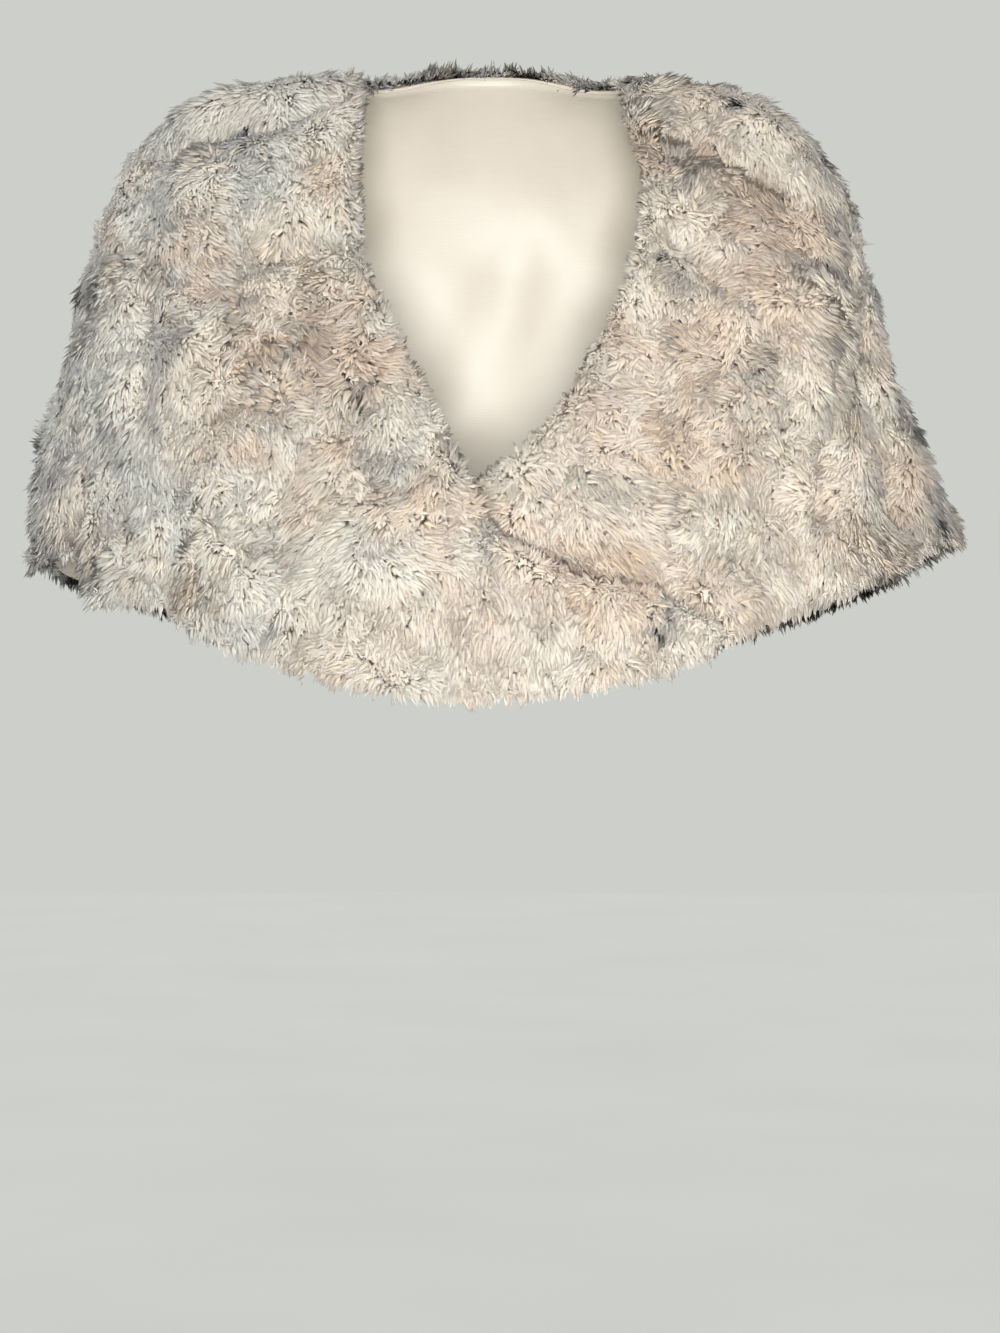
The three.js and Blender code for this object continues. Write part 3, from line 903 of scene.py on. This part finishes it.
def addRimPile(name, sides, seed):
    # strands evenly spaced along an edge, rooted through its thickness, that point out of the cloth:
    # out · cos(turn) + normal · sin(turn)
    rng = np.random.default_rng(seed)
    roots, normals, flows, facing = [], [], [], []
    for panelName, side in sides:
        run = rimRun(panels[panelName], side)
        length = np.concatenate([[0], np.cumsum(np.linalg.norm(np.diff(run[0], axis=0), axis=-1))])
        count = int(length[-1] * rim["perMm"])
        at = (np.arange(count) + rng.uniform(0, 1, count)) / count * length[-1]
        row = np.interp(at, length, np.arange(len(length)))
        first = np.clip(row.astype(int), 0, len(length) - 2)
        share = (row - first)[:, None]
        place, normal, out = (values[first] * (1 - share) + values[first + 1] * share for values in run)
        normal, out = unit(normal), unit(out)
        turn = np.radians(rng.uniform(*rim["turn"], (count, 1)))
        place = place + normal * rng.uniform(*rim["acrossWall"], (count, 1))
        place = place - out * rng.uniform(*rim["inside"], (count, 1))
        roots.append(place)
        normals.append(unit(out * np.cos(turn) + normal * np.sin(turn)))
        facing.append(unit(normal + rim["facing"] * out))
        strength, wave, waveSeed = rim["swirl"]
        swirl = strength * waveVectors(place, wave, waveSeed)
        flows.append(rim["out"] * out + np.array([0, 0, -rim["fall"]]) + swirl)
    roots, normals, flows, facing = (np.concatenate(v) for v in (roots, normals, flows, facing))
    return addPile(name, roots, normals, flows, np.full(len(roots), rim["size"]), seed, facing=facing)


each = pile["strandsPerPiece"] // 1
pilePieces = {
    "back": [addPanelPile("pile_back_left", panels["back"], (0.0, 0.5), each, 1),
             addPanelPile("pile_back_right", panels["back"], (0.5, 1.0), each, 2)],
    "front_right": [addPanelPile("pile_front_right", panels["front_right"], (0.0, 1.0), each, 3)],
    "front_left": [addPanelPile("pile_front_left", panels["front_left"], (0.0, 1.0), each, 4)],
}
for number, (name, sides) in enumerate(rims.items()):
    pilePieces[name].append(addRimPile("pile_rim_" + name, sides, 20 + number))
print("pile made")

# triangles in all the pieces made here, and the most in one piece
pieces = itertools.chain(backings.values(), linings.values(), *pilePieces.values())
meshes = [piece.data for piece in pieces]
counts = [len(mesh.loops) - 2 * len(mesh.polygons) for mesh in meshes]
print("triangles", sum(counts), "most in one piece", max(counts))


middle = (0.0, 0.0, -0.2)   # where the lamps aim, in metres
light = {
    "sky": "#F4F6F8",
    "skyStrength": 0.13,
    "backdrop": "#CDCFCA",
    "floor": "#D6D7D3",
    "floorShade": "#6E6F6D",    # what the lamps light, kept dark so that they leave no pools
    "floorGlow": 0.86,          # what the camera sees of the floor's own colour
    "floorRoughness": 0.8,
    "floorHalf": 12000.0,       # mm
    "cloudScale": 1.5,          # to the metre
}
# place and size in metres, watts
lamps = {
    "key": {"place": (0.0, -1.9, -0.36), "watts": 41.0, "size": 0.5, "aim": (0.0, 0.0, -0.26)},
    "fillRight": {"place": (1.8, -0.5, 0.0), "watts": 1.0, "size": 1.0, "aim": middle},
    "fillLeft": {"place": (-1.8, -0.5, 0.0), "watts": 2.5, "size": 1.0, "aim": middle},
    "top": {"place": (0.0, -0.2, 1.5), "watts": 3.75, "size": 1.0, "aim": middle},
    "bounce": {"place": (0.3, -1.0, -1.25), "watts": 2.5, "size": 1.0, "aim": middle},
    "rearRight": {"place": (1.1, 1.7, 0.3), "watts": 20.0, "size": 1.0, "aim": middle},
    "rearLeft": {"place": (-1.1, 1.7, 0.3), "watts": 20.0, "size": 1.0, "aim": middle},
}


def addLamp(name, place, watts, size, aim):
    # a round soft lamp, turned from straight down by its slope and its bearing towards the aim
    data = bpy.data.lights.new(name, "AREA")
    data.energy = watts
    data.shape = "DISK"
    data.size = size
    lamp = bpy.data.objects.new(name, data)
    bpy.context.collection.objects.link(lamp)
    lamp.location = place
    towards = np.array(aim) - np.array(place)
    slope = np.arctan2(towards[2], np.hypot(towards[0], towards[1]))
    bearing = np.arctan2(towards[1], towards[0])
    lamp.rotation_euler = (np.pi / 2 + slope, 0, bearing - np.pi / 2)


def addSky():
    # soft light from all round; the camera and glossy surfaces see the plain backdrop instead
    world = bpy.data.worlds.new("studio")
    bpy.context.scene.world = world
    world.use_nodes = True
    tree = world.node_tree
    seen = addNode(tree, "ShaderNodeBackground", {}, {"Color": linear(light["backdrop"])})
    lit = addNode(tree, "ShaderNodeBackground", {}, {
        "Color": linear(light["sky"]), "Strength": light["skyStrength"]})
    path = addNode(tree, "ShaderNodeLightPath")
    straight = addNode(tree, "ShaderNodeMath", {"operation": "MAXIMUM"}, {
        0: path.outputs["Is Camera Ray"], 1: path.outputs["Is Glossy Ray"]})
    mix = addNode(tree, "ShaderNodeMixShader", {}, {
        0: straight.outputs[0], 1: lit.outputs[0], 2: seen.outputs[0]})
    tree.links.new(mix.outputs[0], tree.nodes["World Output"].inputs["Surface"])


def addFloor():
    # painted plaster, rolled matt: pale and faintly cloudy, and seen as evenly as the backdrop
    material, tree, shader = newMaterial("mattPaintedPlaster")
    place = addNode(tree, "ShaderNodeTexCoord").outputs["Object"]
    cloudy = addNode(tree, "ShaderNodeTexNoise", {}, {"Vector": place, "Scale": light["cloudScale"]})
    ramp = addNode(tree, "ShaderNodeValToRGB", {}, {"Fac": cloudy.outputs["Fac"]})
    ramp.color_ramp.elements[0].color = linear(light["backdrop"])
    ramp.color_ramp.elements[1].color = linear(light["floor"])
    seen = addNode(tree, "ShaderNodeLightPath").outputs["Is Camera Ray"]
    glow = addNode(tree, "ShaderNodeMath", {"operation": "MULTIPLY"}, {0: seen, 1: light["floorGlow"]})
    tree.links.new(ramp.outputs["Color"], shader.inputs["Emission Color"])
    tree.links.new(glow.outputs[0], shader.inputs["Emission Strength"])
    shader.inputs["Base Color"].default_value = linear(light["floorShade"])
    shader.inputs["Roughness"].default_value = light["floorRoughness"]
    corners = np.array([(-1, -1), (1, -1), (1, 1), (-1, 1)]) * light["floorHalf"]
    points = np.column_stack([corners, np.full(4, view["floorZ"])])
    addMesh("floor", points, np.array([[0, 1, 2, 3]]), material, smooth=False)


addSky()
addFloor()
for name, lamp in lamps.items():
    addLamp(name, **lamp)
print("stage set")
